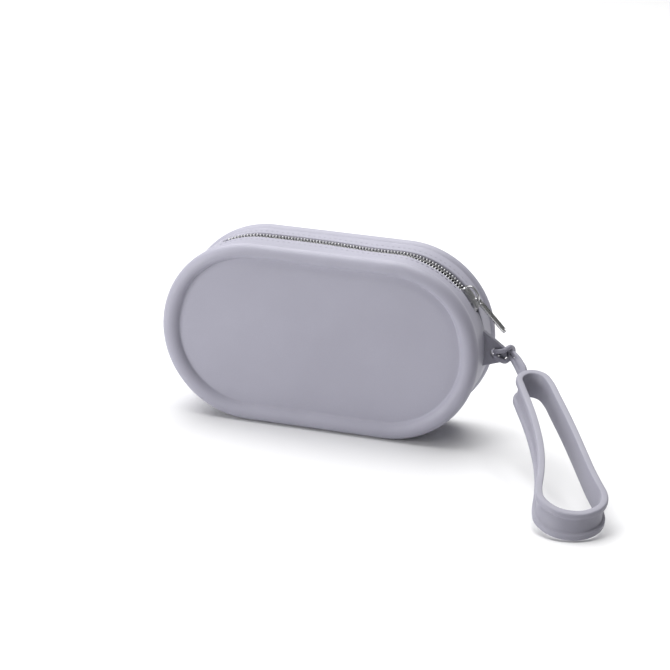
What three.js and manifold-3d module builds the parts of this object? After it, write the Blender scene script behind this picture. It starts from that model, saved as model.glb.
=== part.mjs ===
// Silicone zip pouch with a wrist strap.
// Two cup-shaped silicone half shells meet at the mid plane of the gusset. A coil zip runs round the top of the
// gusset, its slider parked at the right-hand end. A flat tab bonded into the right-hand seam carries a moulded
// wrist strap, hitched through the tab's eye. Millimetres, +X right, +Y back, +Z up.
import * as THREE from 'three';
import { mergeVertices } from 'three/addons/utils/BufferGeometryUtils.js';
import Module from 'manifold-3d';

// ---- driving dimensions --------------------------------------------------------------------------------------
const LENGTH = 150, HEIGHT = 85, DEPTH = 41;     // overall pouch
const R_OUT = HEIGHT / 2;                        // outer radius of the round ends
const A = LENGTH / 2 - R_OUT;                    // half length of the straight part
const RIM_R = 4.25;                              // radius of the fat rim bead
const RIM_SIDES = 16;
const RIM_RHO = R_OUT - RIM_R;                   // bead centreline, measured from the stadium's spine
const RIM_Y = DEPTH / 2 - RIM_R;
const PANEL_Y = 17.9, PANEL_T = 2.0;             // flat face of the panel, and its wall
const GUSSET_RHO = 41.3, GUSSET_T = 2.2;         // outer face of the gusset, and its wall
const SEAM = 0.15;                               // half gap between the two shells
const CAP_STEPS = 24;                            // facets round each end

const PITCH = 1.5;                               // zip tooth pitch
const ZIP_L = -29, ZIP_R = 65.5;                 // ends of the zip slot, degrees from the top, on the left and right ends
const SLOT_HALF = 3.6;                           // half width of the slot
const TAPE_RHO = 38.55, TAPE_T = 0.5, TAPE_IN = 1.5, TAPE_OUT = 12.5;
const CHAIN_LO = 39.15, CHAIN_HI = 41.5, CHAIN_HALF = 2.5, SPINE_IN = 1.75, TOOTH_IN = 0.85, TOOTH_W = 0.52;
const CHAIN_END = 56.6;                          // last tooth, inside the slider
const SL0 = 46.3, SL1 = 61.6, SL_MID = 54;       // slider, along the right end
const PLATE_LO = 41.85, PLATE_HI = 42.7;         // upper slider plate
const UNDER_LO = 37.1, UNDER_HI = 37.95;         // lower slider plate
const TAB_LEN = 20.3, TAB_W = 3.9, TAB_T = 1.2, TAB_ANGLE = 8.6; // pull tab, and its lift from the slider at rest
const PIVOT_T = 1.6, PIVOT_N = 1.0;              // pull tab axis: along and above the slider

const LUG_T = 3.0, EYE = [79.2, -0.2], EYE_R = 2.35; // tab on the seam, and its eye
const CORD_R = 1.1;
const STRAP_W = 9.9, FLANGE = 3.0, WEB = 1.55, FLANGE_H = 1.7; // wrist strap: width, edge bead, web

// the model's origin: middle of the whole object's footprint, on the surface that it stands on
const FRAME = [-36.64, 40.79, R_OUT];

const wasm = await Module();
wasm.setup();

const rad = THREE.MathUtils.degToRad;

// ---- solids --------------------------------------------------------------------------------------------------
function manifold(geometry) {
  const g = geometry.clone();
  for (const name of Object.keys(g.attributes)) if (name !== 'position') g.deleteAttribute(name);
  const m = mergeVertices(g, 1e-4);
  const p = m.attributes.position.array, tris = [];
  const index = m.index ? m.index.array : [...Array(m.attributes.position.count).keys()];
  let volume = 0;
  for (let i = 0; i < index.length; i += 3) {
    const [a, b, c] = [index[i], index[i + 1], index[i + 2]];
    if (a === b || b === c || a === c) continue;
    tris.push(a, b, c);
    volume += p[3 * a] * (p[3 * b + 1] * p[3 * c + 2] - p[3 * b + 2] * p[3 * c + 1])
      - p[3 * a + 1] * (p[3 * b] * p[3 * c + 2] - p[3 * b + 2] * p[3 * c])
      + p[3 * a + 2] * (p[3 * b] * p[3 * c + 1] - p[3 * b + 1] * p[3 * c]);
  }
  if (volume < 0) for (let i = 0; i < tris.length; i += 3) [tris[i], tris[i + 1]] = [tris[i + 1], tris[i]];
  return new wasm.Manifold(new wasm.Mesh({ numProp: 3, vertProperties: Float32Array.from(p), triVerts: Uint32Array.from(tris) }));
}

function geometryOf(solid) {
  const mesh = solid.getMesh();
  const g = new THREE.BufferGeometry();
  const p = new Float32Array(mesh.vertProperties.length / mesh.numProp * 3);
  for (let i = 0; i < p.length / 3; i++) for (let k = 0; k < 3; k++) p[3 * i + k] = mesh.vertProperties[i * mesh.numProp + k];
  g.setAttribute('position', new THREE.BufferAttribute(p, 3));
  g.setIndex([...mesh.triVerts]);
  g.computeVertexNormals();
  return g;
}

// A skin over rings of points: rings[i] is the section at step i. closed joins the last ring to the first.
function skin(rings, closed, cap) {
  const n = rings[0].length, pos = [], index = [];
  for (const ring of rings) for (const p of ring) pos.push(...p);
  const steps = closed ? rings.length : rings.length - 1;
  for (let i = 0; i < steps; i++) {
    const j = (i + 1) % rings.length;
    for (let k = 0; k < n; k++) {
      const l = (k + 1) % n;
      index.push(i * n + k, j * n + k, j * n + l, i * n + k, j * n + l, i * n + l);
    }
  }
  if (!closed) {
    const flat = cap.map(([x, y]) => new THREE.Vector2(x, y));
    const faces = THREE.ShapeUtils.triangulateShape(flat, []);
    const turned = THREE.ShapeUtils.area(flat) < 0;
    for (const f of faces) {
      const [a, b, c] = turned ? [f[0], f[2], f[1]] : f;
      index.push(a, b, c);
      const last = (rings.length - 1) * n;
      index.push(last + a, last + c, last + b);
    }
  }
  const g = new THREE.BufferGeometry();
  g.setAttribute('position', new THREE.BufferAttribute(Float32Array.from(pos), 3));
  g.setIndex(index);
  return g;
}

// A column stands across the stadium's outline: cx is the end's centre, deg the direction from the top, clockwise.
const at = (col, rho, y) => [col.cx + rho * Math.sin(rad(col.deg)), y, rho * Math.cos(rad(col.deg))];
function columns(from, to, step) {
  const out = [];
  const arc = (cx, a, b) => {
    const n = Math.max(1, Math.round(Math.abs(b - a) / step));
    for (let i = 0; i <= n; i++) out.push({ cx, deg: a + (b - a) * i / n });
  };
  if (from < 0) arc(-A, from, Math.min(0, to)); else if (from === 0) out.push({ cx: -A, deg: 0 });
  if (to > 0) arc(A, Math.max(0, from), to);
  return out;
}
const sweep = (cols, section) => skin(cols.map((c, i) => section(c, i).map(([rho, y]) => at(c, rho, y))), false, section(cols[0], 0));
const block = (from, to, step, rho0, rho1, y0, y1) =>
  manifold(sweep(columns(from, to, step), () => [[rho0, y0], [rho1, y0], [rho1, y1], [rho0, y1]]));

// A profile turned round the whole outline. It starts and ends on the spine, so it closes there.
function stadium(profile) {
  const cols = [];
  for (let i = 0; i <= CAP_STEPS; i++) cols.push({ cx: A, deg: 180 * i / CAP_STEPS });
  for (let i = 0; i <= CAP_STEPS; i++) cols.push({ cx: -A, deg: 180 + 180 * i / CAP_STEPS });
  const n = profile.length, pos = [], index = [];
  for (const c of cols) for (const [rho, y] of profile) pos.push(...at(c, rho, y));
  for (let i = 0; i < cols.length; i++) {
    const j = (i + 1) % cols.length;
    for (let k = 0; k < n - 1; k++) index.push(i * n + k, i * n + k + 1, j * n + k + 1, i * n + k, j * n + k + 1, j * n + k);
  }
  const g = new THREE.BufferGeometry();
  g.setAttribute('position', new THREE.BufferAttribute(Float32Array.from(pos.map((v) => (Math.abs(v) < 1e-9 ? 0 : v))), 3));
  g.setIndex(index);
  return g;
}

// ---- shells --------------------------------------------------------------------------------------------------
// side is -1 for the front, +1 for the rear
function shell(side) {
  const profile = [[0, PANEL_Y]];
  const vertexR = RIM_R / Math.cos(Math.PI / RIM_SIDES);
  const lowest = Math.asin((PANEL_Y - RIM_Y) / RIM_R);                       // where the panel runs into the bead
  profile.push([RIM_RHO - RIM_R * Math.cos(lowest), PANEL_Y]);
  for (let k = 0; k < RIM_SIDES; k++) {
    const t = Math.PI - (k + 0.5) * 2 * Math.PI / RIM_SIDES;                 // from the inner side, over the crest, outwards
    const rho = RIM_RHO + vertexR * Math.cos(t), y = RIM_Y + vertexR * Math.sin(t);
    if (y > PANEL_Y + 0.3 || (Math.cos(t) > 0 && (rho > GUSSET_RHO + 0.2))) profile.push([rho, y]);
  }
  const groove = RIM_Y - Math.sqrt(RIM_R ** 2 - (GUSSET_RHO - RIM_RHO) ** 2);
  profile.push([GUSSET_RHO, groove], [GUSSET_RHO, SEAM], [GUSSET_RHO - GUSSET_T, SEAM]);
  profile.push([GUSSET_RHO - GUSSET_T, PANEL_Y - PANEL_T], [0, PANEL_Y - PANEL_T]);
  let body = manifold(stadium(profile.map(([rho, y]) => [rho, side * y])));
  // zip slot, coming to a point at its right-hand end and rounded at its left
  const cols = columns(ZIP_L, ZIP_R, 7.5);
  const extra = [];
  for (const c of cols) if (c.deg !== ZIP_R) extra.push(c);
  extra.push({ cx: A, deg: 62.9 }, { cx: A, deg: 64.3 }, { cx: A, deg: ZIP_R });
  const sorted = extra.sort((p, q) => p.cx - q.cx || p.deg - q.deg);
  const half = (c) => (c.cx > 0 && c.deg >= ZIP_R ? 0.4 : c.cx > 0 && c.deg > 63.5 ? 2.4 : SLOT_HALF);
  body = body.subtract(manifold(sweep(sorted, (c) => [[37.5, -half(c)], [44, -half(c)], [44, half(c)], [37.5, half(c)]])));
  // seat for the strap tab in the seam
  const seat = new THREE.BoxGeometry(12, LUG_T + 0.6, 20.6);
  seat.translate(A + 38.4 + 6, 0, 0);
  return body.subtract(manifold(seat));
}

// ---- zip -----------------------------------------------------------------------------------------------------
const tape = (side) => manifold(sweep(columns(-31, 66.5, 7.5), () => {
  const lo = TAPE_RHO - TAPE_T / 2, hi = TAPE_RHO + TAPE_T / 2;
  return [[lo, side * TAPE_IN], [hi, side * TAPE_IN], [hi, side * TAPE_OUT], [lo, side * TAPE_OUT]];
}));

const CHAIN_RHO = (CHAIN_LO + CHAIN_HI) / 2, CHAIN_START = -26.9;
function alongZip(s) {                            // a column at a distance along the chain's middle line
  const left = rad(-CHAIN_START) * CHAIN_RHO;
  if (s < left) return { cx: -A, deg: CHAIN_START + THREE.MathUtils.radToDeg(s / CHAIN_RHO) };
  if (s < left + 2 * A) return { cx: -A + s - left, deg: 0 };
  return { cx: A, deg: THREE.MathUtils.radToDeg((s - left - 2 * A) / CHAIN_RHO) };
}
function chain(side) {
  const lo = Math.min(side * SPINE_IN, side * CHAIN_HALF), hi = Math.max(side * SPINE_IN, side * CHAIN_HALF);
  let body = block(CHAIN_START, CHAIN_END, 6, CHAIN_LO, CHAIN_HI, lo, hi);
  const total = rad(-CHAIN_START) * CHAIN_RHO + 2 * A + rad(CHAIN_END) * CHAIN_RHO;
  const from = -TOOTH_IN, to = SPINE_IN + 0.3;
  for (let s = side < 0 ? 0.9 : 0.9 + PITCH / 2; s < total - 0.6; s += PITCH) {
    const c = alongZip(s);
    const tooth = new THREE.BoxGeometry(TOOTH_W, to - from, CHAIN_HI - CHAIN_LO - 0.5);
    tooth.translate(0, side * (from + to) / 2, CHAIN_RHO);
    tooth.rotateY(rad(c.deg));
    tooth.translate(c.cx, 0, 0);
    body = body.add(manifold(tooth));
  }
  return body;
}
const stop = (side) => block(62.0, 63.2, 2, CHAIN_LO, 41.2, Math.min(side * 0.35, side * 2.1), Math.max(side * 0.35, side * 2.1));
const bottomStop = () => block(-28.6, -27.6, 2, CHAIN_LO, 41.2, -2.2, 2.2);

// Slider. Its local frame has T along the zip towards the right-hand end, N outwards, and Y across.
const onSlider = (g) => { g.translate(0, 0, PLATE_HI); g.rotateY(rad(SL_MID)); g.translate(A, 0, 0); return g; };
function ringShape(outer, inner) {
  const s = new THREE.Shape(outer.map(([x, y]) => new THREE.Vector2(x, y)));
  if (inner) s.holes.push(new THREE.Path(inner.map(([x, y]) => new THREE.Vector2(x, y))));
  return s;
}
// a flat shape in X and Z, thick along Y about y = 0
function standing(shape, thickness) {
  const g = new THREE.ExtrudeGeometry(shape, { depth: thickness, bevelEnabled: false, curveSegments: 8 });
  g.translate(0, 0, -thickness / 2);
  g.rotateX(Math.PI / 2);
  return g;
}
function arch(cx, rx, rz, foot, n) {
  const pts = [[cx - rx, foot]];
  for (let i = 0; i <= n; i++) {
    const a = Math.PI * (1 - i / n), c = Math.cos(a), s = Math.sin(a);
    pts.push([cx + rx * Math.sign(c) * Math.abs(c) ** 0.7, rz * s ** 0.7]);
  }
  pts.push([cx + rx, foot]);
  return pts;
}
function slider() {
  const step = 2.6;
  const wide = (c) => 3.1 + 0.9 * (c.deg - SL0) / (SL1 - SL0);
  const cols = columns(SL0, SL1, step);
  const plate = (lo, hi) => manifold(sweep(cols, (c) => [[lo, -wide(c)], [hi, -wide(c)], [hi, wide(c)], [lo, wide(c)]]));
  let body = plate(PLATE_LO, PLATE_HI).add(plate(UNDER_LO, UNDER_HI));
  body = body.add(block(57.7, 60.7, 3, UNDER_LO + 0.3, PLATE_HI - 0.3, -1.05, 1.05));        // divider post
  for (const s of [-1, 1]) body = body.add(block(SL0, SL1, step, 39.35, PLATE_LO + 0.3, Math.min(s * 2.85, s * 3.3), Math.max(s * 2.85, s * 3.3)));
  const bail = standing(ringShape([...arch(-0.85, 4.35, 2.9, -0.5, 12)], null), 1.6);
  const hole = standing(ringShape([...arch(-0.85, 3.4, 2.0, -0.6, 12)], null), 3.2);
  return body.add(manifold(onSlider(bail)).subtract(manifold(onSlider(hole))));
}

// Pull tab, drawn from its axis along +X, flat in X and Y, then swung to its rest angle and put on the slider.
function pullTab() {
  const flat = (shape, thickness) => {
    const g = new THREE.ExtrudeGeometry(shape, { depth: thickness, bevelEnabled: false, curveSegments: 8 });
    g.translate(0, 0, -thickness / 2);
    return g;
  };
  const w = TAB_W / 2, outline = [[-0.35, -w], [TAB_LEN - w, -w]];
  for (let i = 1; i < 10; i++) outline.push([TAB_LEN - w + w * Math.sin(Math.PI * i / 10), -w * Math.cos(Math.PI * i / 10)]);
  outline.push([TAB_LEN - w, w], [-0.35, w]);
  const window_ = [[-0.5, -1.15], [3.0, -1.15], [3.0, 1.15], [-0.5, 1.15]];
  let tab = manifold(flat(ringShape(outline), TAB_T)).subtract(manifold(flat(ringShape(window_), 3)));
  const bar = new THREE.CylinderGeometry(0.5, 0.5, TAB_W - 0.1, 12);
  tab = tab.add(manifold(bar));
  // recessed field on both faces
  const field = [[4.1, -1.15], [TAB_LEN - w, -1.15]];
  for (let i = 1; i < 8; i++) field.push([TAB_LEN - w + 1.15 * Math.sin(Math.PI * i / 8), -1.15 * Math.cos(Math.PI * i / 8)]);
  field.push([TAB_LEN - w, 1.15], [4.1, 1.15]);
  for (const s of [-1, 1]) {
    const cut = flat(ringShape(field), 0.6);
    cut.translate(0, 0, s * (TAB_T / 2 + 0.3 - 0.28));
    tab = tab.subtract(manifold(cut));
  }
  const g = geometryOf(tab);
  g.rotateY(-rad(TAB_ANGLE));
  g.translate(PIVOT_T, 0, PIVOT_N);
  return manifold(onSlider(g));
}

// ---- strap tab -----------------------------------------------------------------------------------------------
function lug() {
  const c = [79.8, -0.32], r = 4.34, up = 55, down = -71.7, pts = [[A + 39.4, -7.4], [A + 39.4, 9.7], [A + 40.9, 9.45]];
  for (let i = 0; i <= 10; i++) {
    const a = rad(up + (down - up) * i / 10);
    pts.push([c[0] + r * Math.cos(a), c[1] + r * Math.sin(a)]);
  }
  pts.push([A + 40.6, -7.15]);
  const body = manifold(standing(ringShape(pts), LUG_T));
  const eye = new THREE.CylinderGeometry(EYE_R, EYE_R, LUG_T + 2, 20);
  eye.translate(EYE[0], 0, EYE[1]);
  return body.subtract(manifold(eye));
}

// ---- wrist strap ---------------------------------------------------------------------------------------------
// The loop's inner edge, in the loop's own plane: U towards the far end, V across, both from the loop's centre.
const LOOP_O = new THREE.Vector3(121.126, -59.349, -18.8);
const LOOP_N = new THREE.Vector3(0.0993, -0.25954, 0.96061).normalize();
const LOOP_U = new THREE.Vector3(0.43465, -0.8571, -0.27651).normalize();
const LOOP_V = new THREE.Vector3().crossVectors(LOOP_N, LOOP_U).normalize();
const LEAN_U = 0.514, LEAN_V = -0.192; // the band's wall leans by this much for each millimetre below the near edge
const LOOP = [[-55.17, 1.11], [-52.43, -3.2], [-47.28, -3.56], [-36.25, -3.32], [-25.94, -3.39], [-15.74, -3.95], [-5.37, -4.98], [4.63, -6.69],
  [14.88, -9.34], [25.82, -12.82], [31.19, -13.36], [36.83, -10.76], [40.53, -6.29], [41.73, 0.61], [38.92, 7.32], [34.75, 10.36], [30.59, 11.07],
  [25.81, 10.64], [15.5, 9.84], [5.06, 9.56], [-5.43, 9.33], [-16.17, 8.97], [-26.95, 8.43], [-37.35, 7.72], [-47.98, 6.9], [-53.07, 5.32]];
const inLoop = (u, v, h) => LOOP_O.clone().addScaledVector(LOOP_U, u + LEAN_U * h).addScaledVector(LOOP_V, v + LEAN_V * h).addScaledVector(LOOP_N, -h);

function band() {
  const curve = new THREE.CatmullRomCurve3(LOOP.map(([u, v]) => new THREE.Vector3(u, v, 0)), true, 'centripetal');
  const W = STRAP_W, F = FLANGE, b = FLANGE_H;
  const section = [[0.25, 0], [0, 0.4], [0, W - 0.4], [0.25, W], [F - 0.6, W], [F, W - 0.6], [F, W - b], [WEB, W - b - 0.8],
    [WEB, b + 0.8], [F, b], [F, 0.6], [F - 0.6, 0]];
  const n = 56, rings = [];
  for (let i = 0; i < n; i++) {
    const p = curve.getPointAt(i / n), t = curve.getTangentAt(i / n);
    const out = new THREE.Vector2(t.y, -t.x).normalize();                    // the loop runs anticlockwise, so this points out
    rings.push(section.map(([r, h]) => inLoop(p.x + out.x * r, p.y + out.y * r, h).toArray()));
  }
  return manifold(skin(rings, true));
}
function tube(points, radius, sides, steps) {
  const path = new THREE.CatmullRomCurve3(points.map((p) => new THREE.Vector3(...p)), false, 'centripetal');
  const ring = [];
  for (let i = 0; i < sides; i++) ring.push(new THREE.Vector2(radius * Math.cos(2 * Math.PI * i / sides), radius * Math.sin(2 * Math.PI * i / sides)));
  return manifold(new THREE.ExtrudeGeometry(new THREE.Shape(ring), { steps, extrudePath: path, bevelEnabled: false }));
}
// the cord: out of the band's neck, through the eye from the back, once round itself, back through the eye and home
const CORD = [[95.9, -11.0, -7.4], [95.0, -8.9, -4.9], [93.9, -6.9, -3.1], [92.3, -5.0, -1.95], [90.5, -3.0, -0.76], [88.3, -0.9, 0.26], [86.2, 1.25, 0.66],
  [84.0, 2.95, 0.85], [80.6, 2.8, 0.85], [79.3, 2.0, 0.86], [79.2, 0, 0.86], [79.3, -2.0, 0.93], [80.8, -2.75, 1.35], [82.4, -2.8, 1.7], [83.6, -2.75, 2.2],
  [84.4, -2.2, 2.75], [85.05, -1.2, 3.2], [85.5, 0.1, 3.25], [85.8, 1.9, 2.6], [86.1, 4.0, 1.4], [86.2, 4.8, -0.1], [86.0, 4.1, -1.7], [85.35, 1.7, -2.75],
  [84.95, -0.6, -2.85], [84.35, -2.2, -3.05], [83.4, -2.8, -2.95], [82.3, -2.8, -2.55], [80.9, -2.8, -2.0], [79.8, -2.65, -1.55], [79.25, -1.9, -1.28],
  [79.2, 0, -1.25], [79.3, 1.9, -1.28], [80.6, 2.8, -1.4], [83.8, 3.0, -1.6], [85.6, 1.4, -1.85], [87.0, -0.8, -2.15], [88.7, -3.3, -3.05], [90.6, -5.9, -4.4],
  [92.1, -7.8, -5.8], [93.7, -9.7, -7.3], [95.6, -11.3, -9.0]];
function wristStrap() {
  const neck = tube([[96.87, -12.58, -8.65], [96.2, -11.2, -8.6], [95.2, -9.9, -7.4], [94.4, -8.9, -6.2]], 2.1, 8, 5);
  return band().add(tube(CORD, CORD_R, 8, 110)).add(neck);
}

// ---- assembly ------------------------------------------------------------------------------------------------
const silicone = new THREE.MeshStandardMaterial({ color: 0xaaa9b8, roughness: 0.55, metalness: 0 });
const siliconeShade = new THREE.MeshStandardMaterial({ color: 0x9a99a8, roughness: 0.55, metalness: 0 });
const cloth = new THREE.MeshStandardMaterial({ color: 0x8f8e9b, roughness: 0.9, metalness: 0 });
const teeth = new THREE.MeshStandardMaterial({ color: 0xb5b3b4, roughness: 0.35, metalness: 0.8 });
const steel = new THREE.MeshStandardMaterial({ color: 0xa9a8ac, roughness: 0.25, metalness: 1 });

const object = new THREE.Group();
object.name = 'zip_pouch';
const pouch = new THREE.Group();
pouch.position.set(...FRAME);
object.add(pouch);
const place = (name, solid, material, parent = pouch) => {
  const mesh = new THREE.Mesh(geometryOf(solid), material);
  mesh.name = name;
  parent.add(mesh);
};
place('front_shell', shell(-1), silicone);
place('rear_shell', shell(1), silicone);
place('strap_lug', lug(), siliconeShade);
place('zip_tape_front', tape(-1), cloth);
place('zip_tape_rear', tape(1), cloth);
place('tooth_chain_front', chain(-1), teeth);
place('tooth_chain_rear', chain(1), teeth);
place('top_stop_front', stop(-1), steel);
place('top_stop_rear', stop(1), steel);
place('bottom_stop', bottomStop(), steel);
place('slider', slider(), steel);
place('pull_tab', pullTab(), steel);
place('wrist_strap', wristStrap(), silicone);

export default object;
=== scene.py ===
import math
import bpy
import bmesh
import numpy as np
from mathutils import Vector, Matrix


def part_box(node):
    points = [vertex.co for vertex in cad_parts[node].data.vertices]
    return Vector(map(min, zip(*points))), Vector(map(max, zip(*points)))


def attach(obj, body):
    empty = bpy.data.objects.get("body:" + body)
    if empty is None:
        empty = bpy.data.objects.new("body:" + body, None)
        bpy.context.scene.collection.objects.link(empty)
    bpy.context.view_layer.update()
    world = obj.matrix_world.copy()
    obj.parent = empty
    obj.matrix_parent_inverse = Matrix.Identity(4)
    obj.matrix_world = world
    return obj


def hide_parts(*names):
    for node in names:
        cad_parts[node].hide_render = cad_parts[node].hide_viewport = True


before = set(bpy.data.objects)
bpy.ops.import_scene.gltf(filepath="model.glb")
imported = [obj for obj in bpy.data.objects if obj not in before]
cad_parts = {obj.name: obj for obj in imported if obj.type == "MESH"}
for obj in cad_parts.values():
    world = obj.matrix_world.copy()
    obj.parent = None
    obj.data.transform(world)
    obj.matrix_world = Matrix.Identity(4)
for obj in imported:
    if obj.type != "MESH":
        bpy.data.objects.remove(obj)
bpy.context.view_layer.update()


# ---------------------------------------------------------------------------------------------------------------
# Frame: the middle of the pouch, from the CAD nodes. All shapes below are in millimetres from that point.
lo_f, hi_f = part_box("front_shell")
lo_r, hi_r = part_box("rear_shell")
C0 = np.array([(lo_f.x + hi_f.x) / 2, (hi_f.y + lo_r.y) / 2, (lo_f.z + hi_f.z) / 2])
R_OUT = (hi_f.z - lo_f.z) * 500.0
A = (hi_f.x - lo_f.x) * 500.0 - R_OUT
CAP = np.array([A, 0.0, 0.0])


def to_m(p):
    return np.asarray(p, float) / 1000.0 + C0


def V(p):
    return Vector(to_m(p))


scene = bpy.context.scene
root = scene.collection


def new_object(name, verts, faces, smooth=True, metres=False):
    me = bpy.data.meshes.new(name)
    v = np.asarray(verts, float)
    if not metres:
        v = v / 1000.0 + C0
    me.from_pydata([tuple(p) for p in v], [], [tuple(int(i) for i in f) for f in faces])
    me.validate()
    o = bpy.data.objects.new(name, me)
    root.objects.link(o)
    bm = bmesh.new()
    bm.from_mesh(me)
    bmesh.ops.remove_doubles(bm, verts=bm.verts, dist=1e-7)
    bmesh.ops.recalc_face_normals(bm, faces=bm.faces)
    bm.to_mesh(me)
    bm.free()
    if smooth:
        me.shade_smooth()
    return o


def grid_faces(n_rows, n_cols, close_rows, close_cols, base=0):
    out = []
    for i in range(n_rows if close_rows else n_rows - 1):
        j = (i + 1) % n_rows
        for k in range(n_cols if close_cols else n_cols - 1):
            l = (k + 1) % n_cols
            out.append((base + i * n_cols + k, base + j * n_cols + k, base + j * n_cols + l, base + i * n_cols + l))
    return out


def join(name, objects):
    bpy.ops.object.select_all(action="DESELECT")
    for o in objects:
        o.select_set(True)
    bpy.context.view_layer.objects.active = objects[0]
    if len(objects) > 1:
        bpy.ops.object.join()
    o = bpy.context.view_layer.objects.active
    o.name = name
    o.data.name = name
    return o


def apply_modifiers(o):
    dg = bpy.context.evaluated_depsgraph_get()
    me = bpy.data.meshes.new_from_object(o.evaluated_get(dg))
    o.modifiers.clear()
    o.data = me
    return o


def soften(o, width, segments=2, angle=35, sharp=40):
    """Rounds the sharp edges of a piece, with width in millimetres."""
    m = o.modifiers.new("edge", "BEVEL")
    m.width = width / 1000.0
    m.segments = segments
    m.limit_method = "ANGLE"
    m.angle_limit = math.radians(angle)
    m.harden_normals = False
    apply_modifiers(o)
    o.data.shade_smooth()
    o.data.set_sharp_from_angle(angle=math.radians(sharp))
    return o


def smoothstep(x, a, b):
    t = np.clip((x - a) / (b - a), 0, 1)
    return t * t * (3 - 2 * t)


def catmull(points, n, closed=False):
    """Points along a centripetal-like smooth line through the given points, evenly spaced by length."""
    p = np.asarray(points, float)
    m = len(p)
    out = []
    segs = m if closed else m - 1
    for i in range(segs):
        if closed:
            p0, p1, p2, p3 = p[(i - 1) % m], p[i], p[(i + 1) % m], p[(i + 2) % m]
        else:
            p1, p2 = p[i], p[i + 1]
            p0 = p[i - 1] if i > 0 else 2 * p1 - p2
            p3 = p[i + 2] if i + 2 < m else 2 * p2 - p1
        t0 = 0.0
        t1 = t0 + max(np.linalg.norm(p1 - p0), 1e-6) ** 0.5
        t2 = t1 + max(np.linalg.norm(p2 - p1), 1e-6) ** 0.5
        t3 = t2 + max(np.linalg.norm(p3 - p2), 1e-6) ** 0.5
        for t in np.linspace(t1, t2, 24, endpoint=False):
            a1 = (t1 - t) / (t1 - t0) * p0 + (t - t0) / (t1 - t0) * p1
            a2 = (t2 - t) / (t2 - t1) * p1 + (t - t1) / (t2 - t1) * p2
            a3 = (t3 - t) / (t3 - t2) * p2 + (t - t2) / (t3 - t2) * p3
            b1 = (t2 - t) / (t2 - t0) * a1 + (t - t0) / (t2 - t0) * a2
            b2 = (t3 - t) / (t3 - t1) * a2 + (t - t1) / (t3 - t1) * a3
            out.append((t2 - t) / (t2 - t1) * b1 + (t - t1) / (t2 - t1) * b2)
    if not closed:
        out.append(p[-1])
    out = np.array(out)
    ends = np.vstack([out, out[:1]]) if closed else out
    s = np.r_[0, np.cumsum(np.linalg.norm(np.diff(ends, axis=0), axis=1))]
    want = np.linspace(0, s[-1], n, endpoint=not closed)
    return np.stack([np.interp(want, s, ends[:, k]) for k in range(p.shape[1])], 1)


def frames(path, closed=False, up=None):
    """Tangent, side and normal along a path, carried without twist."""
    n = len(path)
    if closed:
        t = np.roll(path, -1, 0) - np.roll(path, 1, 0)
    else:
        t = np.gradient(path, axis=0)
    t /= np.linalg.norm(t, axis=1)[:, None]
    a = np.array(up if up is not None else ([0, 1, 0] if abs(t[0][1]) < 0.9 else [1, 0, 0]), float)
    nrm = np.zeros_like(path)
    a = a - t[0] * (a @ t[0])
    nrm[0] = a / np.linalg.norm(a)
    for i in range(1, n):
        v = nrm[i - 1] - t[i] * (nrm[i - 1] @ t[i])
        nrm[i] = v / np.linalg.norm(v)
    return t, nrm, np.cross(t, nrm)


def tube(name, path, radius, sides=16, closed=False, cap=True, squash=1.0):
    path = np.asarray(path, float)
    t, n, b = frames(path, closed)
    r = np.broadcast_to(np.asarray(radius, float), (len(path),))
    ang = np.linspace(0, 2 * math.pi, sides, endpoint=False)
    verts = (path[:, None, :] + r[:, None, None] * (np.cos(ang)[None, :, None] * n[:, None, :] + squash * np.sin(ang)[None, :, None] * b[:, None, :])).reshape(-1, 3)
    faces = grid_faces(len(path), sides, closed, True)
    verts = list(verts)
    if not closed and cap:
        # domed ends
        for end, sign in ((0, -1), (len(path) - 1, 1)):
            base = list(range(end * sides, end * sides + sides))
            prev = base
            for k, (f, h) in enumerate(((0.8, 0.45), (0.45, 0.8))):
                ring = []
                for i in range(sides):
                    ring.append(len(verts))
                    d = verts[base[i]] - path[end]
                    verts.append(path[end] + d * f + sign * t[end] * r[end] * h)
                for i in range(sides):
                    j = (i + 1) % sides
                    faces.append((prev[i], prev[j], ring[j], ring[i]))
                prev = ring
            top = len(verts)
            verts.append(path[end] + sign * t[end] * r[end] * 0.95)
            for i in range(sides):
                faces.append((prev[i], prev[(i + 1) % sides], top))
    return new_object(name, verts, faces)


# ---------------------------------------------------------------------------------------------------------------
# Materials
def nodes_of(name):
    m = bpy.data.materials.new(name)
    m.use_nodes = True
    nt = m.node_tree
    bsdf = nt.nodes["Principled BSDF"]
    return m, nt, bsdf


def add(nt, kind, **props):
    n = nt.nodes.new(kind)
    for k, v in props.items():
        setattr(n, k, v)
    return n


def noise(nt, vec, scale, detail=2.0, rough=0.5, dist=0.0):
    n = add(nt, "ShaderNodeTexNoise")
    n.inputs["Scale"].default_value = scale
    n.inputs["Detail"].default_value = detail
    n.inputs["Roughness"].default_value = rough
    n.inputs["Distortion"].default_value = dist
    nt.links.new(vec, n.inputs["Vector"])
    return n.outputs["Fac"]


def ramp(nt, fac, stops):
    r = add(nt, "ShaderNodeValToRGB")
    e = r.color_ramp.elements
    while len(e) < len(stops):
        e.new(0.5)
    for el, (pos, col) in zip(e, stops):
        el.position = pos
        el.color = (*col, 1)
    nt.links.new(fac, r.inputs["Fac"])
    return r.outputs["Color"]


def span(nt, fac, lo, hi, a=0.0, b=1.0):
    r = add(nt, "ShaderNodeMapRange")
    r.inputs["From Min"].default_value = a
    r.inputs["From Max"].default_value = b
    r.inputs["To Min"].default_value = lo
    r.inputs["To Max"].default_value = hi
    nt.links.new(fac, r.inputs["Value"])
    return r.outputs["Result"]


def math_node(nt, op, a, b=None):
    n = add(nt, "ShaderNodeMath", operation=op)
    for i, v in enumerate((a, b)):
        if v is None:
            continue
        if isinstance(v, (int, float)):
            n.inputs[i].default_value = v
        else:
            nt.links.new(v, n.inputs[i])
    return n.outputs[0]


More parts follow.
